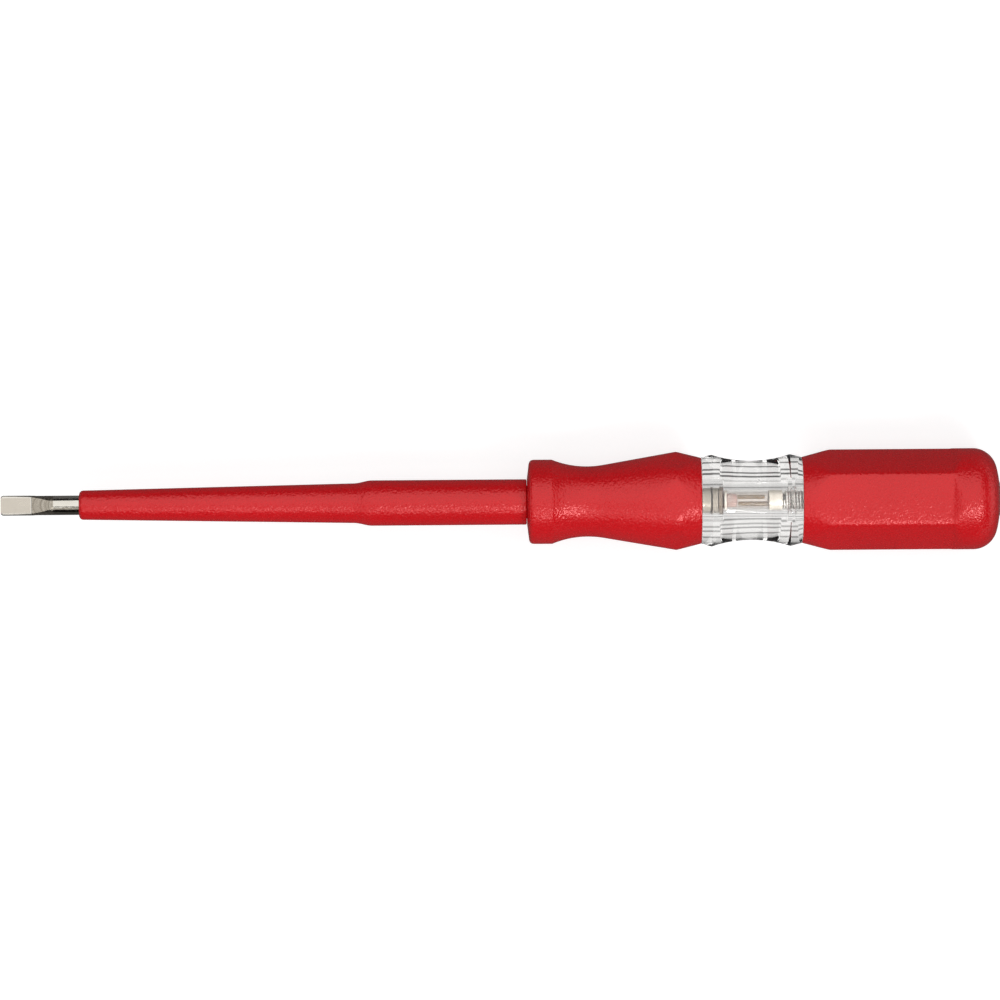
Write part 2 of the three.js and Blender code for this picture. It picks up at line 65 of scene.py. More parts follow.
# Stations along the tool
SLEEVE_FRONT = 11.8
SHOULDER_FRONT = 53.0
BARREL_FRONT = 55.8
BARREL_REAR = 79.0
SLEEVE_REAR = 84.0
GRIP_FRONT = 79.05
COLLAR_REAR = 82.8
LUG_FRONT = 84.05
LUG_REAR = 87.05
BLADE_REAR = 92.85
RESISTOR_FRONT = 92.9
FRONT_SOCKET = 99.7
RIDGE = 101.45
GRIP_REAR = 105.15
WINDOW_FRONT = 105.2
RESISTOR_REAR = 107.2
DISC_FRONT = 107.25
DISC_REAR = 107.9
LAMP_SEAT = 107.95
LAMP_FRONT = 108.1
LAMP_REAR = 117.85
SPRING_FRONT = 117.9
SPRING_BORE = 118.65
WINDOW_REAR = 120.3
REAR_GRIP_FRONT = 120.35
REAR_SOCKET = 125.8
FLATS_END = 142.6
SPRING_REAR = 145.7
FLANGE_FRONT = 145.75
FLANGE_REAR = 146.65
CHAMBER_REAR = 146.7
BUTTON_FACE = 150.0
DOME_APEX = 150.1

# Blade tip: half widths and half thicknesses, the rounding of its edges, and how much the bar
# narrows per millimetre behind the flat
FLAT_REAR = 4.7
SHAFT_FRONT = FLAT_REAR + 0.67
RUN_OUT_REAR = 7.9
TIP_HALF_WIDTH = 1.5
TIP_HALF = 0.25
FLAT_REAR_HALF = 0.8
TIP_CORNER = 0.4
TIP_EDGE = 0.24
RUN_OUT_EDGE = 0.06
NARROWING = 0.06

# Lugs pressed out of the blade inside the grip, and the pocket that holds them
LUG_REACH = 2.3
LUG_HALF = 0.5
LUG_STEP = 0.01
LUG_POCKET = 2.35

# Radii shared by neighbouring pieces
SHAFT = 1.46
BLADE_BORE = 1.51
SPIGOT_TAIL = 2.5
BARREL = 3.41
COLLAR = 6.33
NECK = 5.28
RIDGE_RADIUS = 7.39
WINDOW_END = 6.46
WINDOW_LIP = 6.9
WAIST = 5.95
REAR_BARREL = 7.6
GRIP_APOTHEM = 6.9
RAMP_SLOPE = math.tan(math.radians(27))
RESISTOR_BORE = 2.15
LAMP_BORE = 1.7
SPRING_BORE_RADIUS = 2.15
CHAMBER = 3.5
FLANGE = 3.4
BUTTON_HEAD = 2.8
GUIDE_PIN = 0.8
SLIP = 0.05

# Hexagonal spigots of the window. The bores lie inside BORE_LIMIT, and the sockets and spigots
# inside SOCKET_LIMIT, where the outside of the grips and the window begins.
SPIGOT_LENGTH = 5.4
SPIGOT_APOTHEM = 4.5
SPIGOT_CORNER = 5.0
BORE_LIMIT = 2.5
SOCKET_LIMIT = 5.2

# Pip left by the moulding gate on the window
GATE_STATION = 113.7
GATE_ANGLE = math.radians(28)
GATE_RADIUS = 0.22
GATE_HEIGHT = 0.13

# Faces round the pieces that need fewer than the Turn Steps setting gives
PLAIN_STEPS = 144
SMALL_STEPS = 96
THIN_STEPS = 48


class TesterSizes(bpy.types.PropertyGroup):
    """Sizes that shape the pieces without changing how they fit."""

    turn_steps: IntProperty(
        name="Turn Steps",
        description="Faces round each turned piece",
        default=240,
        min=48,
        max=360,
    )
    ring_spacing: FloatProperty(
        name="Ring Spacing",
        description="Greatest distance between two rings of a turned piece",
        default=0.0008,
        min=0.0001,
        unit="LENGTH",
    )
    flat_edge_sharpness: FloatProperty(
        name="Flat Edge Sharpness",
        description="How crisp the edges of the grip flats are; higher is crisper",
        default=75.0,
        min=20.0,
        max=400.0,
    )
    flat_crown: FloatProperty(
        name="Flat Crown",
        description="Radius of the slight outward bow of the rear grip's flats",
        default=0.026,
        min=0.012,
        unit="LENGTH",
    )
    grain_size: FloatProperty(
        name="Grain Size",
        description="Size of one bump of the grain on the red plastic",
        default=0.0003,
        min=0.00005,
        unit="LENGTH",
    )
    grain_depth: FloatProperty(
        name="Grain Depth",
        description="Depth of the grain on the red plastic",
        default=0.000065,
        min=0.0,
        unit="LENGTH",
    )
    spring_turns: IntProperty(
        name="Spring Turns",
        description="Open turns of the contact spring",
        default=18,
        min=6,
        max=30,
    )


class TesterFinish(bpy.types.PropertyGroup):
    """Colours of the pieces."""

    red: FloatVectorProperty(
        name="Red Plastic",
        description="Colour of the insulating plastic",
        subtype="COLOR",
        default=(0.74, 0.0066, 0.012),
        min=0.0,
        max=1.0,
    )
    clear: FloatVectorProperty(
        name="Window Plastic",
        description="Tint of the clear window",
        subtype="COLOR",
        default=(0.88, 0.868, 0.852),
        min=0.0,
        max=1.0,
    )
    nickel: FloatVectorProperty(
        name="Nickel Plate",
        description="Colour of the plated metal",
        subtype="COLOR",
        default=(0.66, 0.63, 0.58),
        min=0.0,
        max=1.0,
    )
    steel: FloatVectorProperty(
        name="Spring Steel",
        description="Colour of the spring wire",
        subtype="COLOR",
        default=(0.74, 0.73, 0.71),
        min=0.0,
        max=1.0,
    )
    brass: FloatVectorProperty(
        name="Brass",
        description="Colour of the guide pin",
        subtype="COLOR",
        default=(0.62, 0.42, 0.17),
        min=0.0,
        max=1.0,
    )
    film: FloatVectorProperty(
        name="Resistor Film",
        description="Colour of the lacquer over the resistor's film",
        subtype="COLOR",
        default=(0.5, 0.42, 0.27),
        min=0.0,
        max=1.0,
    )
    electrode: FloatVectorProperty(
        name="Electrodes",
        description="Colour of the coated electrodes",
        subtype="COLOR",
        default=(0.36, 0.24, 0.12),
        min=0.0,
        max=1.0,
    )
    # Pink of the lamp stem: a painted reflection of the red grip.
    stem: FloatVectorProperty(
        name="Lamp Stem",
        description="Colour of the glass bead in the lamp",
        subtype="COLOR",
        default=(0.86, 0.5, 0.44),
        min=0.0,
        max=1.0,
    )


def place(station, radius):
    """The point above the axis at a station and radius."""
    return Vector(((station - HALF_LENGTH) * MM, 0, radius * MM))


def rounded(corners, rounding_steps=5):
    """Points of a line through (station, radius, fillet) corners, with a curve at each fillet."""
    points = []
    for i, (station, radius, fillet) in enumerate(corners):
        corner = Vector((station, radius))
        if not fillet:
            points.append(corner)
            continue
        before = Vector(corners[i - 1][:2]) - corner
        after = Vector(corners[(i + 1) % len(corners)][:2]) - corner
        half_angle = before.angle(after) / 2
        reach = min(fillet / math.tan(half_angle), before.length * 0.45, after.length * 0.45)
        start = corner + before.normalized() * reach
        end = corner + after.normalized() * reach
        for step in range(rounding_steps + 1):
            t = step / rounding_steps
            points.append(start * (1 - t) ** 2 + corner * 2 * t * (1 - t) + end * t**2)
    return points


def arc(centre, radius, start, end, steps):
    """Corners with no fillet along an arc; the angles are in radians."""
    corners = []
    for step in range(steps + 1):
        angle = start + (end - start) * step / steps
        corners.append(
            (centre[0] + radius * math.cos(angle), centre[1] + radius * math.sin(angle), 0)
        )
    return corners


def ringed(points, spacing, dense=()):
    """The same line with rings added so that none lie further apart than the spacing.

    Each (front, rear, spacing) in dense asks for closer rings between two stations.
    """
    line = [points[0]]
    for start, end in zip(points, points[1:]):
        gap = spacing
        for front, rear, finer in dense:
            if min(start.x, end.x) < rear and max(start.x, end.x) > front:
                gap = min(gap, finer)
        count = max(1, math.ceil((end - start).length / gap))
        line += [start.lerp(end, step / count) for step in range(1, count + 1)]
    return line


def turned(points, closed=False, steps=None, dense=()):
    """A bmesh of the line turned about the tool's axis."""
    sizes = bpy.context.scene.tester_sizes
    loop = points + points[:1] if closed else points
    line = ringed(loop, sizes.ring_spacing / MM, dense)
    if closed:
        line.pop()
    bm = bmesh.new()
    verts = [bm.verts.new(place(p.x, p.y)) for p in line]
    edges = [bm.edges.new(pair) for pair in zip(verts, verts[1:])]
    if closed:
        edges.append(bm.edges.new((verts[-1], verts[0])))
    bmesh.ops.spin(
        bm,
        geom=verts + edges,
        cent=(0, 0, 0),
        axis=(1, 0, 0),
        angle=2 * math.pi,
        steps=steps or sizes.turn_steps,
        use_merge=True,
    )
    bmesh.ops.remove_doubles(bm, verts=bm.verts, dist=1e-7)
    bmesh.ops.recalc_face_normals(bm, faces=bm.faces)
    return bm


def soft_least(a, b, sharpness):
    """The lesser of two radii, rounded off where they are nearly the same."""
    low, high = min(a, b), max(a, b)
    return low * (1 + (low / high) ** sharpness) ** (-1 / sharpness)


def milled(bm, rule):
    """Moves each point in or out from the axis to the radius that the rule gives.

    The rule gets the station, the radius and the angle round the axis, counted from +Z.
    """
    for v in bm.verts:
        radius = math.hypot(v.co.y, v.co.z)
        if radius < 1e-9:
            continue
        station = v.co.x / MM + HALF_LENGTH
        angle = math.atan2(v.co.y, v.co.z)
        scale = rule(station, radius / MM, angle) * MM / radius
        v.co.y *= scale
        v.co.z *= scale
    return bm


def from_flat(angle):
    """The angle to the nearest of the six flats' normals."""
    sixth = math.pi / 3
    return (angle + sixth / 2) % sixth - sixth / 2


def dress(name, bm, material, body, node):
    """Makes the bmesh a finished piece that rides on a body and stands for a CAD node.

    Edges that turn by more than sharp stay crisp.
    """
    sharp = math.radians(32)
    for face in bm.faces:
        face.smooth = True
    for edge in bm.edges:
        if len(edge.link_faces) == 2 and edge.calc_face_angle(0) > sharp:
            edge.smooth = False
    mesh = bpy.data.meshes.new(name)
    bm.to_mesh(mesh)
    bm.free()
    mesh.materials.append(material)
    piece = bpy.data.objects.new(name, mesh)
    bpy.context.scene.collection.objects.link(piece)
    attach(piece, body)
    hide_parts(node)
    return piece


# Materials


class Nodes:
    """Adds nodes to a tree and joins them."""

    def __init__(self, tree):
        self.tree = tree

    def set(self, socket, value):
        """Joins another node's output to the socket, or gives the socket a value."""
        if isinstance(value, bpy.types.NodeSocket):
            self.tree.links.new(value, socket)
        elif socket.type == "RGBA":
            socket.default_value = (*value, 1.0)
        else:
            socket.default_value = value

    def fill(self, node, inputs):
        """Sets inputs of a node by their names or numbers."""
        for key, value in inputs.items():
            self.set(node.inputs[key], value)

    def add(self, kind, inputs=None, **settings):
        node = self.tree.nodes.new(kind)
        for key, value in settings.items():
            setattr(node, key, value)
        self.fill(node, inputs or {})
        return node

    def math(self, operation, first, second=0.0):
        return self.add("ShaderNodeMath", {0: first, 1: second}, operation=operation).outputs[0]

    def mix(self, share, first, second):
        inputs = {"Factor": share, 6: first, 7: second}
        return self.add("ShaderNodeMix", inputs, data_type="RGBA").outputs[2]

    def ramp(self, value, low, high, to_low=0.0, to_high=1.0):
        """Spreads what lies between low and high over another range, held at both ends."""
        limits = {"From Min": low, "From Max": high, "To Min": to_low, "To Max": to_high}
        node = self.add("ShaderNodeMapRange", {"Value": value, **limits}, clamp=True)
        return node.outputs["Result"]

    def noise(self, where, scale, detail, roughness=0.5):
        """Cloudy bumps from 0 to 1; the scale is how many fit in a metre."""
        inputs = {"Vector": where, "Scale": scale, "Detail": detail, "Roughness": roughness}
        return self.add("ShaderNodeTexNoise", inputs).outputs["Fac"]

    def bump(self, height, depth):
        node = self.add("ShaderNodeBump", {"Height": height, "Distance": depth})
        return node.outputs["Normal"]


def effect_group(name, outputs):
    """A new node group that makes the named values from a place and the size of a bump."""
    tree = bpy.data.node_groups.new(name, "ShaderNodeTree")
    tree.interface.new_socket("Vector", in_out="INPUT", socket_type="NodeSocketVector")
    tree.interface.new_socket("Size", in_out="INPUT", socket_type="NodeSocketFloat")
    for label in outputs:
        tree.interface.new_socket(label, in_out="OUTPUT", socket_type="NodeSocketFloat")
    n = Nodes(tree)
    source = n.add("NodeGroupInput").outputs
    scale = n.math("DIVIDE", 1.0, source["Size"])
    return tree, n, n.add("NodeGroupOutput"), source["Vector"], scale


def grain_group():
    """Fine spark-eroded grain: close bumps with pits between them, and patches of tone."""
    tree, n, result, where, scale = effect_group("Moulded Grain", ["Height", "Tone"])
    bumps = n.noise(where, scale, 1.0, 0.4)
    coarser = n.math("MULTIPLY", scale, 0.7)
    pits = n.add("ShaderNodeTexVoronoi", {"Vector": where, "Scale": coarser})
    height = n.math("ADD", bumps, n.math("MULTIPLY", pits.outputs["Distance"], 0.5))
    patches = n.noise(where, n.math("MULTIPLY", scale, 0.02), 3.0)
    n.fill(result, {"Height": height, "Tone": patches})
    return tree


def drawn_group():
    """Fine lines left by turning or drawing, with patches of wear between them."""
    tree, n, result, where, scale = effect_group("Drawn Metal", ["Height", "Wear"])
    lines = n.noise(where, scale, 4.0, 0.65)
    patches = n.noise(where, n.math("MULTIPLY", scale, 0.12), 3.0)
    n.fill(result, {"Height": lines, "Wear": patches})
    return tree


def placed_effect(n, name, build, where, size):
    """Outputs of the node group of that name, which is built once."""
    tree = bpy.data.node_groups.get(name) or build()
    return n.add("ShaderNodeGroup", {"Vector": where, "Size": size}, node_tree=tree).outputs


def drawn_lines(n, where, stretch, size):
    """Height and wear of drawn metal whose lines are shortened by a factor along each axis."""
    along = n.add("ShaderNodeMapping", {"Vector": where, "Scale": stretch}).outputs["Vector"]
    lines = placed_effect(n, "Drawn Metal", drawn_group, along, size)
    return lines["Height"], lines["Wear"]


def new_material(name):
    """A new material, its nodes, its shader and the object's own coordinates."""
    material = bpy.data.materials.new(name)
    material.use_nodes = True
    n = Nodes(material.node_tree)
    shader = material.node_tree.nodes["Principled BSDF"]
    where = n.add("ShaderNodeTexCoord").outputs["Object"]
    return material, n, shader, where


def shade(colour, red, green, blue):
    """The colour with its three parts scaled."""
    return (colour[0] * red, colour[1] * green, colour[2] * blue)


def red_plastic():
    name = "Red Insulating Plastic"
    found = bpy.data.materials.get(name)
    if found:
        return found
    scene = bpy.context.scene
    sizes, red = scene.tester_sizes, scene.tester_finish.red
    material, n, shader, where = new_material(name)
    grain = placed_effect(n, "Moulded Grain", grain_group, where, sizes.grain_size)
    tone = n.ramp(grain["Tone"], 0.3, 0.7)
    n.fill(
        shader,
        {
            "Base Color": n.mix(tone, shade(red, 0.93, 0.85, 0.85), red),
            "Roughness": n.ramp(grain["Height"], 0.4, 1.0, 0.2, 0.28),
            "Normal": n.bump(grain["Height"], sizes.grain_depth),
            "IOR": 1.6,
            "Specular IOR Level": 1.0,
            "Specular Tint": (1.0, 0.4, 0.4),
        },
    )
    return material


def metal(name, colour, roughness, stretch, size, depth):
    """A metal with fine lines and a roughness that varies in patches."""
    found = bpy.data.materials.get(name)
    if found:
        return found
    material, n, shader, where = new_material(name)
    height, wear = drawn_lines(n, where, stretch, size)
    worn = n.ramp(wear, 0.35, 0.7)
    n.fill(
        shader,
        {
            "Base Color": n.mix(worn, colour, shade(colour, 0.82, 0.8, 0.76)),
            "Roughness": n.ramp(wear, 0.3, 0.7, *roughness),
            "Normal": n.bump(height, depth),
            "Metallic": 1.0,
        },
    )
    return material


def matt_nickel(name, shares, roughness):
    """Matt nickel, with the parts of the nickel's colour scaled by three shares."""
    colour = shade(bpy.context.scene.tester_finish.nickel, *shares)
    return metal(name, colour, roughness, (3.0, 1.0, 1.0), 0.0004, 0.000003)


def ground_nickel():
    """Nickel plate whose ground faces are duller than their polished edges.

    Curved grinding marks cross the run-out behind the flat tip. An uneven dark olive streak along
    the shaft's -Y side is a painted reflection, and a thin strip across the blade just in front of
    the run-out keeps the smooth plated tone as a painted highlight.
    """
    colour = bpy.context.scene.tester_finish.nickel
    bright = shade(colour, 1.22, 1.22, 1.2)
    pale = shade(colour, 1.02, 0.98, 0.92)
    grey = shade(colour, 0.86, 0.82, 0.76)
    dull = shade(colour, 0.52, 0.48, 0.42)
    reflection_olive = shade(colour, 0.3, 0.27, 0.22)
    flat_rear, run_out_rear = place(FLAT_REAR, 0).x, place(RUN_OUT_REAR, 0).x
    material, n, shader, where = new_material("Ground Nickel")
    axes = n.add("ShaderNodeSeparateXYZ", {"Vector": where}).outputs
    along, side = axes["X"], axes["Y"]

    # Marks that lie further back the further they are off the axis
    bow = n.math("MULTIPLY", n.math("MULTIPLY", side, side), 380.0)
    marks = n.add(
        "ShaderNodeTexNoise",
        {"W": n.math("SUBTRACT", along, bow), "Scale": 2600.0, "Detail": 4.0, "Roughness": 0.7},
        noise_dimensions="1D",
    ).outputs["Fac"]

    # Where the flat's middle, the run-out and the painted dark reflection on the shaft are
    middle = n.ramp(n.math("ABSOLUTE", side), 0.00119, 0.00108)
    # The flat ends just before the run-out begins, leaving a thin strip in the smooth plated tone:
    # a painted highlight along that crease.
    flat = n.math("MULTIPLY", middle, n.ramp(along, flat_rear - 0.00008, flat_rear - 0.0002))
    run_out = n.math(
        "MULTIPLY",
        n.ramp(along, flat_rear - 0.00003, flat_rear + 0.00003),
        n.ramp(along, run_out_rear + 0.0001, run_out_rear),
    )
    shaft = n.ramp(along, run_out_rear - 0.0006, run_out_rear + 0.0002)
    reflection_wobble = n.math("MULTIPLY", n.noise(where, 1500.0, 2.0), 0.0006)
    painted_reflection = n.math("MULTIPLY", n.ramp(n.math("ADD", side, reflection_wobble), 0.0001, -0.0001), shaft)

    lines, wear = drawn_lines(n, where, (1.0, 3.0, 3.0), 0.0005)
    tone = n.mix(n.math("MULTIPLY", n.ramp(wear, 0.45, 0.75), 0.4), bright, pale)
    # Painted reflection: the shaft's -Y side is mixed towards dark olive.
    tone = n.mix(n.math("MULTIPLY", painted_reflection, 0.8), tone, reflection_olive)
    tone = n.mix(flat, tone, pale)
    scored = n.mix(n.ramp(marks, 0.35, 0.65), dull, grey)
    smooth = n.ramp(wear, 0.3, 0.7, 0.1, 0.18)
    ground = n.math("MULTIPLY", n.math("MAXIMUM", flat, run_out), 0.14)
    ripple = n.math("ADD", n.noise(where, 900.0, 2.0), n.math("MULTIPLY", lines, 0.15))
    n.fill(
        shader,
        {
            "Base Color": n.mix(run_out, tone, scored),
            "Roughness": n.math("ADD", smooth, ground),
            "Normal": n.bump(n.math("ADD", n.math("MULTIPLY", marks, run_out), ripple), 0.000028),
            "Metallic": 1.0,
        },
    )
    return material


def clear_material(name, colour, ior, roughness, ripple_size, ripple_depth, shadow):
    """A clear material with a faint moulded ripple; shadow is the share of light it stops."""
    material, n, shader, where = new_material(name)
    ripple = n.noise(where, 1 / ripple_size, 1.0)
    shadow_ray = n.add("ShaderNodeLightPath").outputs["Is Shadow Ray"]
    n.fill(
        shader,
        {
            "Base Color": colour,
            "Roughness": n.ramp(ripple, 0.3, 0.7, *roughness),
            "Normal": n.bump(ripple, ripple_depth),
            "Alpha": n.ramp(shadow_ray, 0.0, 1.0, 1.0, shadow),
            "Transmission Weight": 1.0,
            "IOR": ior,
        },
    )
    return material


def stem_glass():
    """Cloudy glass that lets a third of the light through; its pink tint is a painted reflection
    of the red grip.
    """
    colour = bpy.context.scene.tester_finish.stem
    pale = tuple(0.55 * c + 0.45 for c in colour)
    material, n, shader, where = new_material("Stem Glass")
    cloud = n.noise(where, 1400.0, 3.0)
    n.fill(
        shader,
        {
            "Base Color": n.mix(n.ramp(cloud, 0.35, 0.65), colour, pale),
            "Roughness": n.ramp(cloud, 0.3, 0.7, 0.12, 0.3),
            "Normal": n.bump(cloud, 0.00001),
            "Transmission Weight": 0.35,
            "IOR": 1.5,
        },
    )
    return material


def resistor_film():
    """Lacquered film with the helical trimming groove showing as a darker line."""
    groove_pitch = 0.0011
    colour = bpy.context.scene.tester_finish.film
    material, n, shader, where = new_material("Resistor Film")
    axes = n.add("ShaderNodeSeparateXYZ", {"Vector": where}).outputs
    turn = n.math("ARCTAN2", axes["Y"], axes["Z"])
    lead = n.math("MULTIPLY", axes["X"], 2 * math.pi / groove_pitch)
    groove = n.ramp(n.math("SINE", n.math("ADD", lead, turn)), 0.8, 0.95)
    speckle = n.noise(where, 3000.0, 3.0)
    body = n.mix(n.ramp(speckle, 0.3, 0.7), colour, shade(colour, 0.85, 0.83, 0.8))
    n.fill(
        shader,
        {
            "Base Color": n.mix(groove, body, shade(colour, 0.35, 0.3, 0.25)),
            "Roughness": n.ramp(speckle, 0.3, 0.7, 0.35, 0.5),
            "Normal": n.bump(n.math("SUBTRACT", speckle, groove), 0.00002),
        },
    )
    return material


def electrode_coat():
    """Metal under a thin, powdery coat."""
    colour = bpy.context.scene.tester_finish.electrode
    material, n, shader, where = new_material("Electrode Coating")
    powder = n.noise(where, 6000.0, 4.0)
    dark = shade(colour, 0.62, 0.62, 0.62)
    n.fill(
        shader,
        {
            "Base Color": n.mix(n.ramp(powder, 0.3, 0.7), colour, dark),
            "Roughness": n.ramp(powder, 0.3, 0.7, 0.4, 0.6),
            "Normal": n.bump(powder, 0.000012),
            "Metallic": 0.5,
        },
    )
    return material


# Pieces


def rounded_slab(full, half, edge, angle):
    """Radius at an angle off the upright of a round bar with two ground faces and eased edges.

    The bar's radius is full, its faces lie half a thickness off the axis, and edge is the radius
    of the rounding between a face and the bar.
    """
    sine, cosine = abs(math.sin(angle)), abs(math.cos(angle))
    edge = min(edge, half * 0.96)
    centre_z = half - edge
    centre_y = math.sqrt((full - edge) ** 2 - centre_z**2)
    if sine * half <= centre_y * cosine:
        return half / cosine
    if sine * centre_z >= centre_y * cosine:
        return full
    along = centre_y * sine + centre_z * cosine
    return along + math.sqrt(max(0.0, edge**2 - centre_y**2 - centre_z**2 + along**2))


def bar_radius(station):
    """Radius of the round bar that the blade's tip is pressed from."""
    return max(SHAFT, TIP_HALF_WIDTH - NARROWING * max(0.0, station - FLAT_REAR))


def lug_radius(station, radius, angle):
    """Section of the shaft with its two pressed lugs, which reach out less at their front."""
    taper = min(1.0, 0.8 + 0.4 * (station - LUG_FRONT))
    reach = LUG_REACH * taper / max(abs(math.sin(angle)), 1e-6)
    thickness = LUG_HALF / max(abs(math.cos(angle)), 1e-6)
    return max(radius, min(reach, thickness))


def blade_rule(station, radius, angle):
    """Section of the blade: pressed tip, ground run-out, round shaft and pressed lugs."""
    if LUG_FRONT <= station <= LUG_REAR and radius > 1:
        return lug_radius(station, radius, angle)
    if station > RUN_OUT_REAR:
        return radius
    bar = full = bar_radius(station)
    if station < TIP_CORNER:
        along = min(TIP_CORNER - station, TIP_CORNER)
        full += math.sqrt(TIP_CORNER**2 - along**2) - TIP_CORNER
    if station <= FLAT_REAR:
        half = TIP_HALF + (FLAT_REAR_HALF - TIP_HALF) * station / FLAT_REAR
        edge = TIP_EDGE
    else:
        share = (station - FLAT_REAR) / (RUN_OUT_REAR - FLAT_REAR)
        half = FLAT_REAR_HALF + (SHAFT - FLAT_REAR_HALF) * share
        edge = TIP_EDGE + (RUN_OUT_EDGE - TIP_EDGE) * share
    if half > full - 0.01:  # the faces have run out to the round bar
        return radius
    return min(radius / bar, 1.0) * rounded_slab(full, half, edge, angle)


def build_blade():
    points = rounded(
        [
            (0, 0, 0),
            (0, TIP_HALF_WIDTH / 2, 0),
            (0, TIP_HALF_WIDTH, 0.03),
            (TIP_CORNER, TIP_HALF_WIDTH, 0),
            (FLAT_REAR, TIP_HALF_WIDTH, 0),
            (SHAFT_FRONT, SHAFT, 0),
            (RUN_OUT_REAR, SHAFT, 0),
            (LUG_FRONT - LUG_STEP, SHAFT, 0),
            (LUG_FRONT, SHAFT, 0),
            (LUG_REAR, SHAFT, 0),
            (LUG_REAR + LUG_STEP, SHAFT, 0),
            (BLADE_REAR, SHAFT, 0.3),
            (BLADE_REAR, 0, 0),
        ]
    )
    dense = [(0, TIP_CORNER, 0.05), (TIP_CORNER, FLAT_REAR, 0.25), (FLAT_REAR, RUN_OUT_REAR, 0.07)]
    bm = turned(points, dense=dense)
    dress("tester_blade", milled(bm, blade_rule), ground_nickel(), "tool", "blade")


def build_sleeve():
    """Tapered sleeve with a smooth step up to its barrel, and a tail that the grip holds."""
    nose, nose_centre, front_of_step, steps = 0.62, 1.58, 2.98, 12
    shoulder = []
    for step in range(steps + 1):
        t = step / steps
        rise = t * t * (3 - 2 * t)
        station = SHOULDER_FRONT + (BARREL_FRONT - SHOULDER_FRONT) * t
        shoulder.append((station, front_of_step + (BARREL - front_of_step) * rise, 0))
    corners = [
        (SLEEVE_FRONT, BLADE_BORE, 0),
        *arc((SLEEVE_FRONT + nose, nose_centre), nose, math.pi, math.pi / 2, 10),
        *shoulder,
        (BARREL_REAR, BARREL, 0.22),
        (BARREL_REAR, SPIGOT_TAIL, 0),
        (SLEEVE_REAR, SPIGOT_TAIL, 0.2),
        (SLEEVE_REAR, BLADE_BORE, 0),
    ]
    bm = turned(rounded(corners), closed=True, steps=PLAIN_STEPS)
    dress("tester_sleeve", bm, red_plastic(), "tool", "insulating_sleeve")


def socket_rule(radius, angle):
    """A hexagonal socket with rounded corners that clears the window's spigot."""
    slab = (SPIGOT_APOTHEM + SLIP) / math.cos(from_flat(angle))
    return min(radius, SPIGOT_CORNER + SLIP, slab)


def front_grip_rule(station, radius, angle):
    """Six flats outside, and the window's socket behind the bore."""
    if radius < SOCKET_LIMIT:
        return socket_rule(radius, angle) if station > FRONT_SOCKET - SLIP else radius
    sharpness = bpy.context.scene.tester_sizes.flat_edge_sharpness
    return soft_least(radius, GRIP_APOTHEM / math.cos(from_flat(angle)), sharpness)


def neck_and_flare():
    """Corners along the neck's arc, up to where its tangent meets the ridge."""
    neck_arc = 14.0
    centre_y = NECK + neck_arc
    half_chord = math.sqrt(neck_arc**2 - (neck_arc - (COLLAR - NECK)) ** 2)
    centre_x = COLLAR_REAR + half_chord
    start = -math.pi / 2 - math.asin(half_chord / neck_arc)
    to_x, to_y = RIDGE - centre_x, RIDGE_RADIUS - centre_y
    end = math.atan2(to_y, to_x) - math.acos(neck_arc / math.hypot(to_x, to_y))
    return arc((centre_x, centre_y), neck_arc, start, end, 24)


def build_front_grip():
    """Collar, waisted neck, flare and ridge outside; sleeve, lugs, resistor and socket inside."""
    tail_room, flats_front = BLADE_REAR + SLIP, 95.0
    corners = [
        (GRIP_FRONT, BARREL, 0.1),
        (GRIP_FRONT + 0.35, COLLAR, 0.8),
        (COLLAR_REAR, COLLAR, 0.35),
        *neck_and_flare()[1:],
        (RIDGE, RIDGE_RADIUS, 0.7),
        (GRIP_REAR, WINDOW_END, 0.12),
        (GRIP_REAR, SPIGOT_CORNER + SLIP, 0.05),
        (FRONT_SOCKET, SPIGOT_CORNER + SLIP, 0),
        (FRONT_SOCKET, RESISTOR_BORE, 0),
        (tail_room, RESISTOR_BORE, 0),
        (tail_room, BLADE_BORE, 0),
        (LUG_REAR + SLIP, BLADE_BORE, 0),
        (LUG_REAR + SLIP, LUG_POCKET, 0),
        (LUG_FRONT - LUG_STEP, LUG_POCKET, 0),
        (LUG_FRONT - LUG_STEP, SPIGOT_TAIL + SLIP, 0),
        (GRIP_FRONT, SPIGOT_TAIL + SLIP, 0),
    ]
    bm = turned(rounded(corners), closed=True, dense=[(flats_front, GRIP_REAR, 0.22)])
    bm = milled(bm, front_grip_rule)
    dress("tester_front_grip", bm, red_plastic(), "tool", "front_grip")


def rear_grip_rule(station, radius, angle):
    """Six slightly bowed flats that run out on ramps, and the window's socket in front."""
    if radius < SOCKET_LIMIT:
        return socket_rule(radius, angle) if station < REAR_SOCKET + SLIP else radius
    sizes = bpy.context.scene.tester_sizes
    crown = sizes.flat_crown / MM
    height = GRIP_APOTHEM + max(0.0, station - FLATS_END) * RAMP_SLOPE
    off = from_flat(angle)
    sunk = crown - height
    face = math.sqrt(crown**2 - (sunk * math.sin(off)) ** 2) - sunk * math.cos(off)
    return soft_least(radius, face, sizes.flat_edge_sharpness)


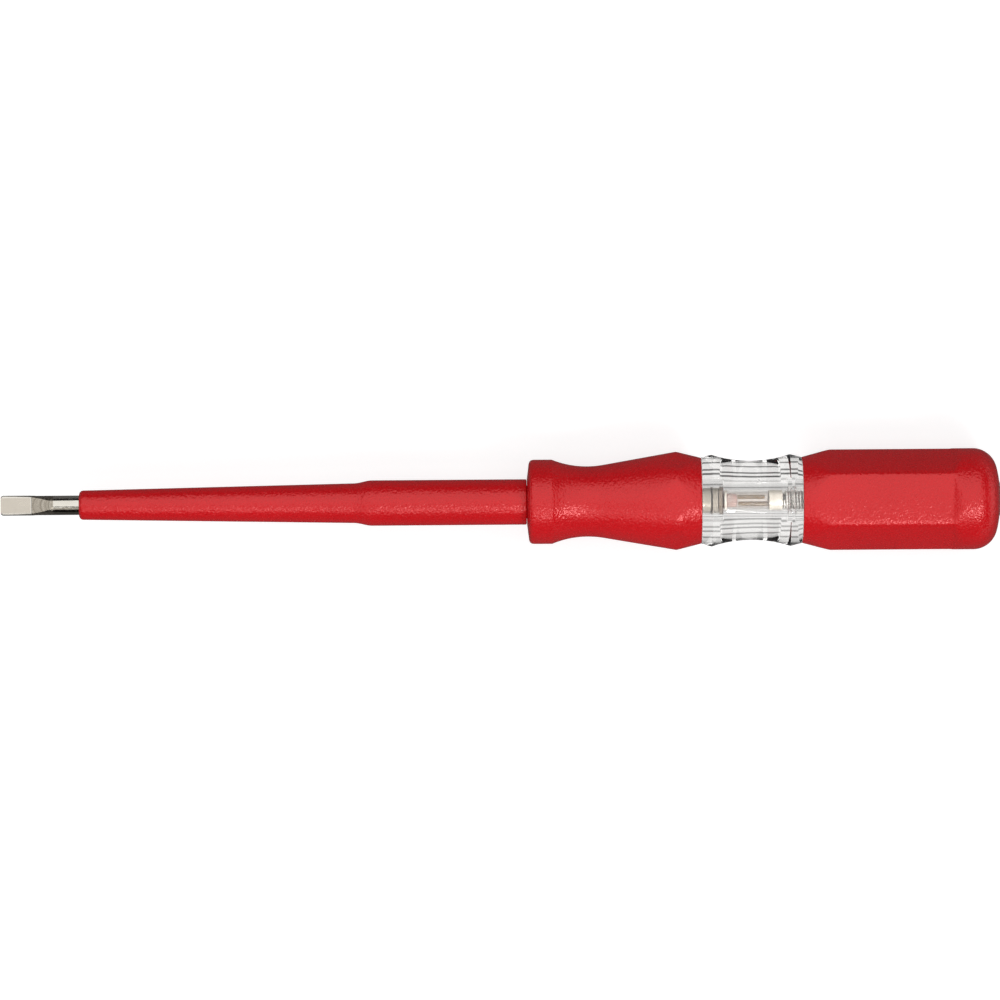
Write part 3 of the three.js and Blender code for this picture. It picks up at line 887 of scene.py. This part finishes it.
def build_rear_grip():
    """Barrel with a crowned end, which the button's chamber opens through."""
    crown, corner = 20.5, 3.6
    crown_centre = DOME_APEX - crown
    corner_y = REAR_BARREL - corner
    apart = crown - corner
    corner_x = crown_centre + math.sqrt(apart**2 - corner_y**2)
    handover = math.asin(corner_y / apart)
    mouth = BUTTON_HEAD + 0.1
    corners = [
        (REAR_GRIP_FRONT, WINDOW_END, 0.12),
        (REAR_GRIP_FRONT + 4.2, REAR_BARREL, 1.4),
        *arc((corner_x, corner_y), corner, math.pi / 2, handover, 14),
        *arc((crown_centre, 0), crown, handover, math.asin(mouth / crown), 10)[1:-1],
        (crown_centre + math.sqrt(crown**2 - mouth**2), mouth, 0.12),
        (CHAMBER_REAR, mouth, 0),
        (CHAMBER_REAR, CHAMBER, 0),
        (REAR_SOCKET, CHAMBER, 0),
        (REAR_SOCKET, SPIGOT_CORNER + SLIP, 0),
        (REAR_GRIP_FRONT, SPIGOT_CORNER + SLIP, 0.05),
    ]
    flare = (REAR_GRIP_FRONT, 125.0, 0.25)
    ramps = (141.5, 147.0, 0.2)
    bm = milled(turned(rounded(corners), closed=True, dense=[flare, ramps]), rear_grip_rule)
    dress("tester_rear_grip", bm, red_plastic(), "tool", "rear_grip")


def window_rule(station, radius, angle):
    """Hexagonal spigots at both ends of a round window, and the moulding gate's small pip."""
    if BORE_LIMIT < radius < SOCKET_LIMIT:
        return min(radius, SPIGOT_APOTHEM / math.cos(from_flat(angle)))
    if radius > SPIGOT_CORNER:
        off = math.hypot(station - GATE_STATION, radius * (angle - GATE_ANGLE))
        return radius + GATE_HEIGHT * math.exp(-((off / GATE_RADIUS) ** 2))
    return radius


def build_window():
    """Clear waisted window with a spigot at each end and bores for resistor, lamp and spring."""
    lip_front, lip_rear = WINDOW_FRONT + 1.55, WINDOW_REAR - 1.75
    half = (lip_rear - lip_front) / 2
    sag = WINDOW_LIP - WAIST
    waist_arc = (half**2 + sag**2) / (2 * sag)
    swing = math.asin(half / waist_arc)
    centre = (lip_front + half, WAIST + waist_arc)
    waist = arc(centre, waist_arc, -math.pi / 2 - swing, -math.pi / 2 + swing, 36)
    front, rear = WINDOW_FRONT - SPIGOT_LENGTH, WINDOW_REAR + SPIGOT_LENGTH
    corners = [
        (front, RESISTOR_BORE, 0),
        (front, SPIGOT_CORNER, 0.4),
        (WINDOW_FRONT, SPIGOT_CORNER, 0.1),
        (WINDOW_FRONT, WINDOW_END, 0.1),
        (lip_front, WINDOW_LIP, 0.2),
        *waist[1:-1],
        (lip_rear, WINDOW_LIP, 0.2),
        (WINDOW_REAR, WINDOW_END, 0.1),
        (WINDOW_REAR, SPIGOT_CORNER, 0.1),
        (rear, SPIGOT_CORNER, 0.4),
        (rear, SPRING_BORE_RADIUS, 0.1),
        (SPRING_BORE, SPRING_BORE_RADIUS, 0.08),
        (SPRING_BORE, LAMP_BORE, 0.08),
        (LAMP_SEAT, LAMP_BORE, 0.08),
        (LAMP_SEAT, RESISTOR_BORE, 0.05),
    ]
    seen_part, pip = (104.9, 120.6, 0.3), (113.3, 114.1, 0.09)
    bm = milled(turned(rounded(corners), closed=True, dense=[seen_part, pip]), window_rule)
    tint = bpy.context.scene.tester_finish.clear
    clear = clear_material("Clear Window Plastic", tint, 1.58, (0.0, 0.02), 0.004, 0.00002, 0.12)
    dress("tester_window", bm, clear, "tool", "window")


def cap(closed_end, facing, length, radius, wall, rounding):
    """A drawn cap with a rounded closed end, facing back (1) or forward (-1)."""
    corners = [
        (0, 0, 0),
        (0, radius, rounding),
        (length, radius, wall * 0.45),
        (length, radius - wall, wall * 0.45),
        (wall, radius - wall, rounding * 0.5),
        (wall, 0, 0),
    ]
    corners = [(closed_end + facing * s, r, fillet) for s, r, fillet in corners]
    return turned(rounded(corners), steps=SMALL_STEPS)


def rod(front, rear, radius, front_fillet, rear_fillet, steps=SMALL_STEPS):
    """A plain rod with rounded ends."""
    corners = [
        (front, 0, 0),
        (front, radius, front_fillet),
        (rear, radius, rear_fillet),
        (rear, 0, 0),
    ]
    return turned(rounded(corners), steps=steps)


def build_resistor():
    core_radius, sunk = 1.6, 0.3
    cap_length, cap_radius, cap_wall, cap_rounding = 2.2, 1.9, 0.25, 0.2
    core = rod(RESISTOR_FRONT + sunk, RESISTOR_REAR - sunk, core_radius, 0.1, 0.1)
    dress("tester_resistor_core", core, resistor_film(), "tool", "resistor_core")
    dull = matt_nickel("Dull Nickel", (0.66, 0.63, 0.59), (0.42, 0.56))
    for side, end, facing in (("front", RESISTOR_FRONT, 1), ("rear", RESISTOR_REAR, -1)):
        bm = cap(end, facing, cap_length, cap_radius, cap_wall, cap_rounding)
        name, node = f"tester_resistor_{side}_cap", f"resistor_{side}_cap"
        dress(name, bm, dull, "tool", node)


def build_disc():
    """Contact disc between the resistor and the lamp, with a pip on its rear face."""
    disc_radius, pip_radius, pip_height = 2.1, 1.0, 0.15
    pip_rear = DISC_REAR + pip_height
    corners = [
        (DISC_FRONT, 0, 0),
        (DISC_FRONT, disc_radius, 0.12),
        (DISC_REAR, disc_radius, 0.12),
        (DISC_REAR, pip_radius, 0),
        (pip_rear, pip_radius - pip_height, 0.05),
        (pip_rear, 0, 0),
    ]
    bm = turned(rounded(corners), steps=SMALL_STEPS)
    # The disc's nickel is darkened to under half its colour and browned.
    darkened_nickel = matt_nickel("Darkened Nickel", (0.4, 0.34, 0.3), (0.36, 0.5))
    dress("tester_contact_disc", bm, darkened_nickel, "tool", "contact_disc")


def build_lamp():
    """Glow lamp: two caps, a glass tube, the stem in its front end and two electrodes."""
    cap_radius, cap_wall, cap_rounding = 1.5, 0.15, 0.18
    front_cap_length, rear_cap_length = 0.45, 2.3
    glass_front, glass_rear = LAMP_FRONT + 0.2, LAMP_REAR - 0.2
    glass_radius, glass_bore, glass_rounding = 1.3, 1.05, 0.08
    stem_radius, stem_length = 1.0, 2.0
    electrode_radius, electrode_rounding, electrode_offset = 0.33, 0.14, 0.5

    # The lamp caps take the nickel 1.4 times brighter, a painted highlight that whitens them.
    bright = matt_nickel("Highlight Cap Nickel", (1.4, 1.4, 1.4), (0.42, 0.55))
    for side, end, facing, length in (
        ("front", LAMP_FRONT, 1, front_cap_length),
        ("rear", LAMP_REAR, -1, rear_cap_length),
    ):
        bm = cap(end, facing, length, cap_radius, cap_wall, cap_rounding)
        name, node = f"tester_lamp_{side}_cap", f"lamp_{side}_cap"
        dress(name, bm, bright, "tool", node)

    corners = [
        (glass_front, glass_bore, glass_rounding),
        (glass_front, glass_radius, glass_rounding),
        (glass_rear, glass_radius, glass_rounding),
        (glass_rear, glass_bore, glass_rounding),
    ]
    bm = turned(rounded(corners), closed=True, steps=SMALL_STEPS)
    # The glass's tan tint dims what shows between the electrodes: painted shade.
    tint = (0.93, 0.89, 0.86)
    glass = clear_material("Lamp Glass", tint, 1.5, (0.0, 0.03), 0.0015, 0.00003, 0.1)
    dress("tester_lamp_glass", bm, glass, "tool", "lamp_glass")

    stem = rod(glass_front, glass_front + stem_length, stem_radius, 0.1, 0.6)
    dress("tester_lamp_stem", stem, stem_glass(), "tool", "lamp_stem")

    coat = electrode_coat()
    for side, front, rear, offset in (
        ("front", glass_front + 1.65, LAMP_REAR - 2.9, electrode_offset),
        ("rear", LAMP_FRONT + 2.35, glass_rear, -electrode_offset),
    ):
        ends = (electrode_rounding, electrode_rounding)
        bm = rod(front, rear, electrode_radius, *ends, steps=THIN_STEPS)
        bmesh.ops.translate(bm, verts=bm.verts, vec=(0, offset * MM, 0))
        name, node = f"tester_lamp_{side}_electrode", f"lamp_{side}_electrode"
        dress(name, bm, coat, "tool", node)


def build_spring():
    """Wire wound close where the window shows it."""
    finish = bpy.context.scene.tester_finish
    turns = bpy.context.scene.tester_sizes.spring_turns
    wire, wire_sides, coil, steps = 0.22, 14, 1.25, 32
    front_turns, rear_turns = 6.25, 1.25
    front, rear = SPRING_FRONT + wire, SPRING_REAR - wire
    closed_pitch = 2.08 * wire
    open_pitch = (rear - front - (front_turns + rear_turns) * closed_pitch) / turns
    bm = bmesh.new()
    ring = bmesh.ops.create_circle(bm, segments=wire_sides, radius=wire * MM)["verts"]
    upright = Matrix.Rotation(math.pi / 2, 3, "X")
    bmesh.ops.rotate(bm, verts=ring, cent=(0, 0, 0), matrix=upright)
    bmesh.ops.translate(bm, verts=ring, vec=place(front, coil))
    last = ring + list({e for v in ring for e in v.link_edges})
    for count, pitch in (
        (front_turns, closed_pitch),
        (turns, open_pitch),
        (rear_turns, closed_pitch),
    ):
        spun = bmesh.ops.spin(
            bm,
            geom=last,
            cent=(0, 0, 0),
            axis=(1, 0, 0),
            dvec=(pitch / steps * MM, 0, 0),
            angle=2 * math.pi * count,
            steps=round(steps * count),
        )
        last = spun["geom_last"]
    bmesh.ops.holes_fill(bm, edges=[e for e in bm.edges if e.is_boundary], sides=0)
    bmesh.ops.recalc_face_normals(bm, faces=bm.faces)
    steel = metal("Spring Steel", finish.steel, (0.22, 0.36), (1.0, 1.0, 1.0), 0.0003, 0.000001)
    spring = dress("tester_spring", bm, steel, "tool", "contact_spring")
    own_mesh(spring)


def build_button():
    """Flanged touch button, and the pin in its front that guides the spring."""
    finish = bpy.context.scene.tester_finish
    pin_front, pin_rear = FLANGE_FRONT - 9, FLANGE_FRONT + 2.5
    corners = [
        (pin_rear + SLIP, 0, 0),
        (pin_rear + SLIP, GUIDE_PIN + SLIP, 0),
        (FLANGE_FRONT, GUIDE_PIN + SLIP, 0.1),
        (FLANGE_FRONT, FLANGE, 0.12),
        (FLANGE_REAR, FLANGE, 0.12),
        (FLANGE_REAR, BUTTON_HEAD, 0),
        (BUTTON_FACE, BUTTON_HEAD, 0.25),
        (BUTTON_FACE, 0, 0),
    ]
    bm = turned(rounded(corners), steps=PLAIN_STEPS)
    plate = metal("Nickel Plate", finish.nickel, (0.14, 0.26), (3.0, 1.0, 1.0), 0.0006, 0.0000012)
    dress("tester_touch_button", bm, plate, "touch", "touch_button")
    pin = rod(pin_front, pin_rear, GUIDE_PIN, 0.3, 0.1)
    brass = metal("Turned Brass", finish.brass, (0.24, 0.38), (8.0, 1.0, 1.0), 0.0005, 0.0000015)
    dress("tester_guide_pin", pin, brass, "touch", "guide_pin")


# Studio

# Dark bars of painted shade on the light table that the window shows: slant off the upright in
# degrees, half width and darkness. A slant above 0 leans towards +Y, and the broad last bar is
# the far side, where the table's light falls off.
PAINTED_SHADE_BARS = (
    (-21.5, 2.0, 0.35),
    (-28.5, 2.0, 0.9),
    (-35.0, 2.2, 0.85),
    (-50.6, 3.0, 0.85),
    (-71.0, 4.0, 0.9),
    (-90.0, 10.0, 0.2),
    (21.0, 2.0, 0.6),
    (28.0, 2.0, 0.5),
    (34.7, 2.2, 0.6),
    (47.5, 3.0, 0.65),
    (74.0, 9.0, 0.6),
    (84.0, 44.0, 0.35),
)

# Soft lamps: name, centre, length and width, brightness, the point aimed at, and whether gloss
# shows them
LAMPS = (
    ("Overhead Softbox", (0, 0.405, 0.6), (1.2, 1.11), 1.0, (0, 0.405, 0), True),
    ("Key Panel", (0, -0.49, 0.6), (1.2, 0.55), 0.95, (0, -0.49, 0), True),
    ("Hard Strip", (0.15, -0.36, 0.59), (0.5, 0.05), 4.5, (0, 0, 0), True),
    ("Small Lamp", (0.3, -0.36, 0.59), (0.08, 0.08), 30.0, (0, 0, 0), True),
    ("Side Fill", (0, -0.7, 0.3), (1.2, 0.4), 0.9, (0, 0, 0), False),
)

BLACK, WHITE = (0.0, 0.0, 0.0), (1.0, 1.0, 1.0)


def floor_material():
    """Pale floor: white to the camera, dimmer in gloss beside the tool, and it keeps the shadow.

    Clear pieces look through it to the light table, which the world holds, and see its dark bars
    of painted shade.
    """
    material, n, shader, where = new_material("Studio Floor")
    speck = n.noise(where, 900.0, 2.0)
    along = n.add("ShaderNodeSeparateXYZ", {"Vector": where}).outputs["X"]
    path = n.add("ShaderNodeLightPath").outputs
    glossy = path["Is Glossy Ray"]
    beside = n.ramp(n.math("ABSOLUTE", along), 0.1, 0.2, 0.9, 0.0)
    share = n.math("SUBTRACT", 1.0, n.math("MULTIPLY", glossy, beside))
    pale = n.mix(speck, (0.5, 0.5, 0.5), (0.52, 0.52, 0.52))
    seen = n.math("MAXIMUM", path["Is Camera Ray"], glossy)
    n.fill(
        shader,
        {
            "Base Color": n.mix(share, BLACK, pale),
            "Roughness": 0.9,
            "Specular IOR Level": 0.0,
            "Emission Color": WHITE,
            "Emission Strength": n.math("MULTIPLY", n.math("MULTIPLY", seen, share), 0.7),
        },
    )
    clear = n.add("ShaderNodeBsdfTransparent").outputs["BSDF"]
    layers = {0: path["Is Transmission Ray"], 1: shader.outputs["BSDF"], 2: clear}
    surface = n.add("ShaderNodeMixShader", layers).outputs["Shader"]
    n.fill(material.node_tree.nodes["Material Output"], {"Surface": surface})
    return material


def area_light(name, centre, size, radiance, aim, in_gloss):
    """A soft rectangular lamp of even brightness, aimed at a point."""
    data = bpy.data.lights.new(name, "AREA")
    data.shape = "RECTANGLE"
    data.size, data.size_y = size
    data.energy = radiance * math.pi * size[0] * size[1]
    lamp = bpy.data.objects.new(name, data)
    bpy.context.scene.collection.objects.link(lamp)
    lamp.location = centre
    lamp.rotation_euler = (Vector(aim) - Vector(centre)).to_track_quat("-Z", "Y").to_euler()
    lamp.visible_camera = False
    lamp.visible_glossy = in_gloss


def table_with_painted_shade(n, way):
    """Brightness of a white light table crossed by dark bars of painted shade, by how a direction
    slants to it.
    """
    slant = n.math("ARCTAN2", way["Y"], n.math("MULTIPLY", way["Z"], -1.0))
    bright = 1.0
    for degrees, half_width, darkness in PAINTED_SHADE_BARS:
        off = n.math("ABSOLUTE", n.math("SUBTRACT", slant, math.radians(degrees)))
        reach = math.radians(half_width)
        bright = n.math("MULTIPLY", n.ramp(off, reach, reach * 0.3, 1.0, 1 - darkness), bright)
    return bright


def studio_world():
    """White to the camera, a light table with dark bars of painted shade to clear pieces, and dim
    to diffuse rays.

    In gloss it is dark across the tool, as in the photo, and pale off both of the tool's ends.
    """
    world = bpy.data.worlds.new("Studio World")
    bpy.context.scene.world = world
    world.use_nodes = True
    n = Nodes(world.node_tree)
    path = n.add("ShaderNodeLightPath").outputs
    direction = n.add("ShaderNodeTexCoord").outputs["Generated"]
    way = n.add("ShaderNodeSeparateXYZ", {"Vector": direction}).outputs
    ends = n.ramp(n.math("ABSOLUTE", way["X"]), 0.85, 0.93)
    gloss = n.mix(ends, (0.014, 0.013, 0.012), (0.8, 0.8, 0.8))
    ambient = n.mix(path["Is Glossy Ray"], (0.08, 0.08, 0.08), gloss)
    table = n.mix(table_with_painted_shade(n, way), BLACK, WHITE)
    seen = n.mix(path["Is Transmission Ray"], ambient, table)
    colour = n.mix(path["Is Camera Ray"], seen, WHITE)
    n.fill(world.node_tree.nodes["Background"], {"Color": colour})


def studio_camera():
    """Looks straight down, turned a little so that the grip lies slightly higher in the frame."""
    data = bpy.data.cameras.new("Studio Camera")
    data.sensor_width = 36.0
    data.lens = 203.7
    data.clip_start, data.clip_end = 0.01, 20.0
    camera = bpy.data.objects.new("Studio Camera", data)
    bpy.context.scene.collection.objects.link(camera)
    camera.location = (0.0, 0.00032, 0.85)
    camera.rotation_euler = (0.0, 0.0, math.radians(-0.42))
    bpy.context.scene.camera = camera


def build_stage():
    bm = bmesh.new()
    bmesh.ops.create_grid(bm, x_segments=2, y_segments=2, size=4.0)
    bmesh.ops.translate(bm, verts=bm.verts, vec=(0, 0, -REAR_BARREL * MM))
    mesh = bpy.data.meshes.new("studio_floor")
    bm.to_mesh(mesh)
    bm.free()
    mesh.materials.append(floor_material())
    floor = bpy.data.objects.new("studio_floor", mesh)
    bpy.context.scene.collection.objects.link(floor)
    for lamp in LAMPS:
        area_light(*lamp)
    studio_world()
    studio_camera()
    bpy.context.scene.view_settings.view_transform = "Standard"


class TESTER_OT_blade(bpy.types.Operator):
    """Build the nickel-plated blade with its ground tip and its hidden tail"""

    bl_idname = "tester.blade"
    bl_label = "Blade"

    def execute(self, context):
        build_blade()
        return {"FINISHED"}


class TESTER_OT_sleeve(bpy.types.Operator):
    """Build the tapered insulating sleeve"""

    bl_idname = "tester.sleeve"
    bl_label = "Insulating Sleeve"

    def execute(self, context):
        build_sleeve()
        return {"FINISHED"}


class TESTER_OT_grips(bpy.types.Operator):
    """Build the front and rear grips with their six flats"""

    bl_idname = "tester.grips"
    bl_label = "Grips"

    def execute(self, context):
        build_front_grip()
        build_rear_grip()
        return {"FINISHED"}


class TESTER_OT_window(bpy.types.Operator):
    """Build the clear window with its stepped bore"""

    bl_idname = "tester.window"
    bl_label = "Window"

    def execute(self, context):
        build_window()
        return {"FINISHED"}


class TESTER_OT_resistor(bpy.types.Operator):
    """Build the series resistor and its two caps"""

    bl_idname = "tester.resistor"
    bl_label = "Resistor"

    def execute(self, context):
        build_resistor()
        return {"FINISHED"}


class TESTER_OT_lamp(bpy.types.Operator):
    """Build the glow lamp and the contact disc in front of it"""

    bl_idname = "tester.lamp"
    bl_label = "Glow Lamp"

    def execute(self, context):
        build_disc()
        build_lamp()
        return {"FINISHED"}


class TESTER_OT_contact(bpy.types.Operator):
    """Build the contact spring, the guide pin and the touch button"""

    bl_idname = "tester.contact"
    bl_label = "Spring and Touch Button"

    def execute(self, context):
        build_spring()
        build_button()
        return {"FINISHED"}


class TESTER_OT_stage(bpy.types.Operator):
    """Build the floor, the soft lights, the world and the camera"""

    bl_idname = "tester.stage"
    bl_label = "Studio"

    def execute(self, context):
        build_stage()
        return {"FINISHED"}


OPERATORS = (
    TESTER_OT_blade,
    TESTER_OT_sleeve,
    TESTER_OT_grips,
    TESTER_OT_window,
    TESTER_OT_resistor,
    TESTER_OT_lamp,
    TESTER_OT_contact,
    TESTER_OT_stage,
)


class TESTER_PT_panel(bpy.types.Panel):
    """Sizes, colours and build steps of the tester"""

    bl_idname = "TESTER_PT_panel"
    bl_label = "Voltage Tester"
    bl_space_type = "VIEW_3D"
    bl_region_type = "UI"
    bl_category = "Tester"

    def draw(self, context):
        layout = self.layout
        for group in (context.scene.tester_sizes, context.scene.tester_finish):
            box = layout.box()
            for name in group.__annotations__:
                box.prop(group, name)
        for operator in OPERATORS:
            layout.operator(operator.bl_idname)


CLASSES = (TesterSizes, TesterFinish, *OPERATORS, TESTER_PT_panel)


def register():
    for cls in CLASSES:
        bpy.utils.register_class(cls)
    bpy.types.Scene.tester_sizes = PointerProperty(type=TesterSizes)
    bpy.types.Scene.tester_finish = PointerProperty(type=TesterFinish)


def unregister():
    del bpy.types.Scene.tester_finish
    del bpy.types.Scene.tester_sizes
    for cls in reversed(CLASSES):
        bpy.utils.unregister_class(cls)


def main():
    register()
    bpy.ops.tester.blade()
    bpy.ops.tester.sleeve()
    bpy.ops.tester.grips()
    bpy.ops.tester.window()
    bpy.ops.tester.resistor()
    bpy.ops.tester.lamp()
    bpy.ops.tester.contact()
    bpy.ops.tester.stage()


if __name__ == "__main__":
    main()
